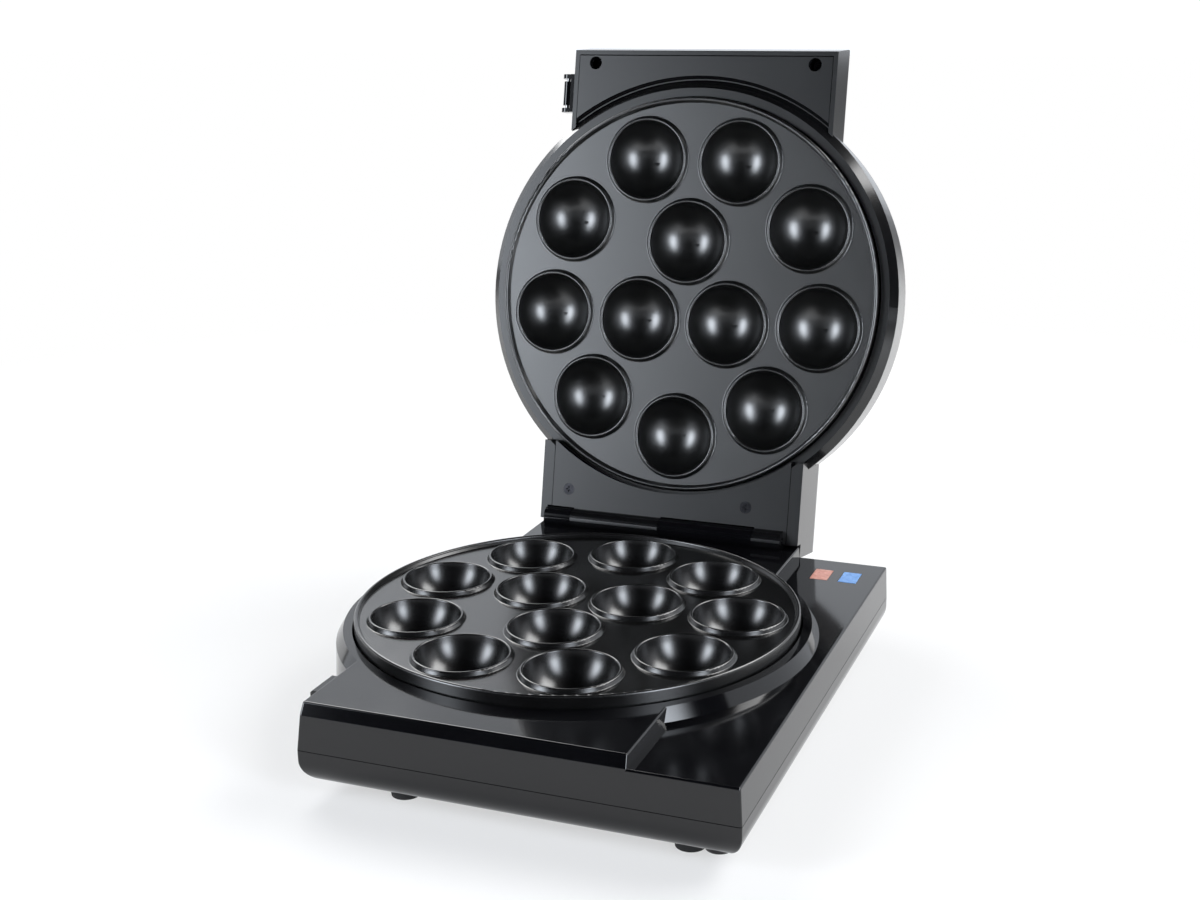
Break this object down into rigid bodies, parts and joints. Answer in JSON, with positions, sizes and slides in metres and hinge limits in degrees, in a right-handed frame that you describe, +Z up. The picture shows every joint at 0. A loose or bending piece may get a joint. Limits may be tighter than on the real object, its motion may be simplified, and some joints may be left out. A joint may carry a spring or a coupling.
{
  "type": "cake pop maker",
  "caption": "Countertop cake pop maker: a hinged lid over a square-fronted base, both with round non-stick plates of half-ball cups, and a side clasp.",
  "frame": {"origin": "centre of the bounding box of the open appliance, on the surface its feet stand on", "axes": "+Z up, +Y to the back where the hinge is, +X to the side with the control panel"},
  "size_m": [0.2351, 0.3536, 0.2966],
  "materials": {
    "housing_black": "glossy black moulded plastic",
    "plate_coating": "cast aluminium under a satin black non-stick coating",
    "element_steel": "dull sheathed steel tube",
    "shield_steel": "bright pressed sheet steel",
    "screw_steel": "darkened steel",
    "foot_rubber": "matt black rubber",
    "ceramic": "cream moulded body",
    "fuse_metal": "plain drawn can",
    "terminal_plastic": "natural white moulded plastic",
    "gland_plastic": "matt black moulded plastic",
    "red_lens": "translucent red plastic",
    "blue_lens": "translucent blue plastic",
    "holder_plastic": "natural white moulded plastic",
    "lamp_glass": "clear glass neon lamp",
    "pin_steel": "plain drawn steel"
  },
  "bodies": {
    "base": {"base_upper_shell": "housing_black", "base_lower_tub": "housing_black", "housing_screws": "screw_steel", "rubber_feet": "foot_rubber", "lower_cooking_plate": "plate_coating", "lower_heating_element": "element_steel", "lower_heat_shield": "shield_steel", "lower_plate_screws": "screw_steel", "thermostat": "ceramic", "thermal_fuse": "fuse_metal", "terminal_block": "terminal_plastic", "cord_inlet_gland": "gland_plastic", "red_lens": "red_lens", "blue_lens": "blue_lens", "lamp_holder": "holder_plastic", "neon_lamps": "lamp_glass", "hinge_pin": "pin_steel"},
    "lid": {"lid_outer_shell": "housing_black", "lid_inner_cover": "housing_black", "upper_cooking_plate": "plate_coating", "upper_heating_element": "element_steel", "upper_heat_shield": "shield_steel", "upper_plate_screws": "screw_steel", "lid_front_screws": "screw_steel", "lid_rear_screws": "screw_steel", "clasp_bracket": "housing_black", "clasp_pin": "pin_steel"},
    "clasp": {"clasp": "housing_black"}
  },
  "joints": [
    {"name": "lid_hinge", "type": "hinge", "parent": "base", "child": "lid", "pos_m": [-0.00315, 0.0806, 0.048], "axis": [1, 0, 0], "range_deg": [0, 102]},
    {"name": "clasp_pivot", "type": "hinge", "parent": "lid", "child": "clasp", "pos_m": [-0.08145, 0.14294, 0.27297], "axis": [0, 0.2079, 0.9781], "range_deg": [0, 180]}
  ]
}
